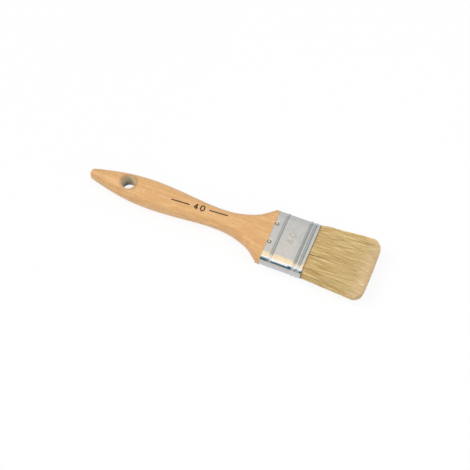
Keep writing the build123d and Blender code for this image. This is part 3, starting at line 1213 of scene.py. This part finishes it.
# What bright metal mirrors, from the far horizon over the top to the near one: the tilt from straight
# up in degrees, the light's strength and its colour. The first list is the middle of the studio, and
# the second its two ends.
STUDIO_MIDDLE = [
    (-90.0, 0.66, (0.98, 1.00, 1.00)),
    (-40.0, 0.66, (0.98, 1.00, 0.98)),
    (-29.0, 0.65, (0.96, 1.00, 0.99)),
    (-24.8, 0.82, (1.00, 0.96, 0.93)),
    (-22.2, 1.23, (1.00, 0.80, 0.50)),
    (17.0, 1.25, (1.00, 0.81, 0.54)),
    (21.0, 1.30, (1.00, 0.99, 0.97)),
    (51.5, 1.30, (1.00, 1.00, 1.00)),
    (55.0, 0.21, (0.18, 0.66, 1.00)),
    (77.0, 0.21, (0.18, 0.66, 1.00)),
    (81.0, 0.66, (1.00, 0.90, 0.80)),
    (90.0, 0.70, (1.00, 0.90, 0.80)),
]
STUDIO_ENDS = [
    (-90.0, 0.34, (0.94, 1.00, 0.97)),
    (-50.0, 0.40, (0.94, 1.00, 0.97)),
    (-24.0, 0.42, (0.94, 1.00, 0.97)),
    (-12.0, 0.80, (1.00, 0.94, 0.85)),
    (40.0, 1.05, (1.00, 1.00, 1.00)),
    (52.0, 0.60, (0.92, 0.96, 1.00)),
    (90.0, 0.50, (0.92, 0.96, 1.00)),
]


def studio_ramp(tree, tilt, lights, brightest):
    """The colour of the studio at a tilt, with its brightest light at 1."""
    ramp = tree.nodes.new("ShaderNodeValToRGB")
    feed(tree, ramp.inputs[0], tilt / math.pi + 0.5)
    stops = ramp.color_ramp.elements
    while len(stops) < len(lights):
        stops.new(0.5)
    for stop, (degrees, strength, tint) in zip(stops, lights):
        stop.position = degrees / 180.0 + 0.5
        stop.color = (*(part * strength / brightest for part in tint), 1.0)
    return ramp.outputs[0]


def studio_world(sizes):
    """Even soft light for every surface, and a striped studio for gloss to mirror."""
    world = bpy.data.worlds.new("Studio")
    bpy.context.scene.world = world
    world.use_nodes = True
    tree = world.node_tree
    tree.nodes.clear()
    x, y, z = split(tree, tree.nodes.new("ShaderNodeTexCoord").outputs["Generated"])
    tilt = maths(tree, "ARCTAN2", -y, z)
    brightest = max(strength for _, strength, _ in STUDIO_MIDDLE)

    def between(start, end):
        return smooth(tilt, math.radians(start), math.radians(end))

    # The dark strip at the near side stands 22 degrees higher towards the handle, and 4 degrees
    # higher towards the bristles.
    raised = smooth(x, -0.165, -0.185) * between(30, 36) * between(64, 48) * math.radians(22)
    turned = smooth(x, -0.14, -0.12) * between(40, 50) * math.radians(4)
    middle = studio_ramp(tree, tilt + raised + turned, STUDIO_MIDDLE, brightest)
    ends = studio_ramp(tree, tilt, STUDIO_ENDS, brightest)
    aside = larger(smooth(x, -0.06, 0.2), smooth(x, -0.24, -0.62) * 0.75)
    aside = larger(aside, smooth(x, -0.09, -0.02) * between(45, 60))
    mirrored = add(tree, "ShaderNodeBackground", {
        "Color": mix_colours(tree, aside, middle, ends), "Strength": brightest,
    })
    plain = add(tree, "ShaderNodeBackground", {
        "Color": (1.0, 1.0, 1.0, 1.0), "Strength": (larger(z, 0.0) * 1.125 + 0.25) * sizes.ambient,
    })
    white = add(tree, "ShaderNodeBackground", {"Color": (1.0, 1.0, 1.0, 1.0), "Strength": 1.0})
    lit = add(tree, "ShaderNodeMixShader", {
        0: ray_is(tree, "Glossy"), 1: plain.outputs[0], 2: mirrored.outputs[0],
    })
    seen = larger(ray_is(tree, "Camera"), ray_is(tree, "Transmission"))
    result = add(tree, "ShaderNodeMixShader", {0: seen, 1: lit.outputs[0], 2: white.outputs[0]})
    output = tree.nodes.new("ShaderNodeOutputWorld")
    tree.links.new(result.outputs[0], output.inputs["Surface"])


def rectangle(name, low, high, height, material):
    """A flat part of the stage between two opposite corners, at a height."""
    corners = [low, (high[0], low[1]), high, (low[0], high[1])]
    sheet = new_mesh(name, [(x, y, height) for x, y in corners], [(0, 1, 2, 3)], material)
    return sheet


def add_card(name, low, high, near_tint, far_tint):
    """A card just over the floor that only gloss mirrors. Its tint changes away from the brush."""
    material, tree, _ = new_material(name)
    _, y, _ = split(tree, place_in_object(tree))
    tint = mix_colours(tree, smooth(abs(y), 36 * MM, 46 * MM), near_tint, far_tint)
    light = add(tree, "ShaderNodeEmission", {"Color": tint, "Strength": 1.0})
    tree.links.new(light.outputs[0], tree.nodes["Material Output"].inputs["Surface"])
    card = rectangle(name, low, high, CARD_HEIGHT, material)
    for ray in ("camera", "diffuse", "transmission", "volume_scatter", "shadow"):
        setattr(card, f"visible_{ray}", False)


class BRUSH_OT_stage(bpy.types.Operator):
    """Lay the pale floor, and set the soft light and the camera"""

    bl_idname = "paint_brush.stage"
    bl_label = "Stage"

    def execute(self, context):
        sizes = context.scene.brush_stage
        half = sizes.floor_size / 2
        rectangle("floor", (-half, -half), (half, half), 0.0, floor_material(sizes))
        studio_world(sizes)
        add_lamp("upper_left_softbox", place=(-1.5, -0.25, 1.9), size=1.4, power=sizes.key)
        add_lamp("right_softbox", place=(0.8, -0.25, 0.55), size=0.6, power=sizes.fill)
        side = ferrule_high.y + 0.5 * MM
        start, end = CARD_ENDS
        add_card("far_card", (start, side), (end, CARD_REACH), FAR_TINT, FAR_TINT)
        add_card("near_card", (start, -CARD_REACH), (end, -side), *NEAR_TINTS)

        camera = new_object("camera", bpy.data.cameras.new("camera"))
        camera.data.lens = sizes.lens
        camera.data.sensor_width = 36.0
        level = math.cos(sizes.elevation)
        back = Vector((
            math.sin(sizes.azimuth) * level, -math.cos(sizes.azimuth) * level, math.sin(sizes.elevation)
        ))
        camera.location = Vector(sizes.aim) + back * sizes.distance
        camera.rotation_euler = (math.pi / 2 - sizes.elevation, 0.0, sizes.azimuth)
        camera.data.clip_start = 0.01
        context.scene.camera = camera
        context.scene.view_settings.view_transform = "Standard"
        return {"FINISHED"}


# ---- Panel and registration ----

SETTINGS = {
    "brush_handle": HandleSettings,
    "brush_mark": MarkSettings,
    "brush_ferrule": FerruleSettings,
    "brush_nails": NailSettings,
    "brush_bristles": BristleSettings,
    "brush_filling": FillingSettings,
    "brush_stage": StageSettings,
}
OPERATORS = [
    BRUSH_OT_stage,
    BRUSH_OT_handle,
    BRUSH_OT_size_mark,
    BRUSH_OT_ferrule,
    BRUSH_OT_nails,
    BRUSH_OT_bristles,
    BRUSH_OT_filling,
]


class BRUSH_PT_pieces(bpy.types.Panel):
    """The brush's pieces, each with the sizes and colours it is made from"""

    bl_idname = "BRUSH_PT_pieces"
    bl_label = "Paint Brush"
    bl_space_type = "VIEW_3D"
    bl_region_type = "UI"
    bl_category = "Paint Brush"

    def draw(self, context):
        for operator in OPERATORS:
            self.layout.operator(operator.bl_idname)
        for name in SETTINGS:
            box = self.layout.box()
            box.label(text=name.removeprefix("brush_").capitalize())
            settings = getattr(context.scene, name)
            for value in settings.bl_rna.properties:
                if not value.is_readonly and value.identifier != "name":
                    box.prop(settings, value.identifier)


def register():
    for kind in (*SETTINGS.values(), *OPERATORS, BRUSH_PT_pieces):
        bpy.utils.register_class(kind)
    for name, kind in SETTINGS.items():
        setattr(bpy.types.Scene, name, PointerProperty(type=kind))


def unregister():
    for name in SETTINGS:
        delattr(bpy.types.Scene, name)
    for kind in (BRUSH_PT_pieces, *reversed(OPERATORS), *SETTINGS.values()):
        bpy.utils.unregister_class(kind)


def main():
    register()
    for operator in OPERATORS:
        name = operator.bl_idname.split(".")[1]
        getattr(bpy.ops.paint_brush, name)()


if __name__ == "__main__":
    main()
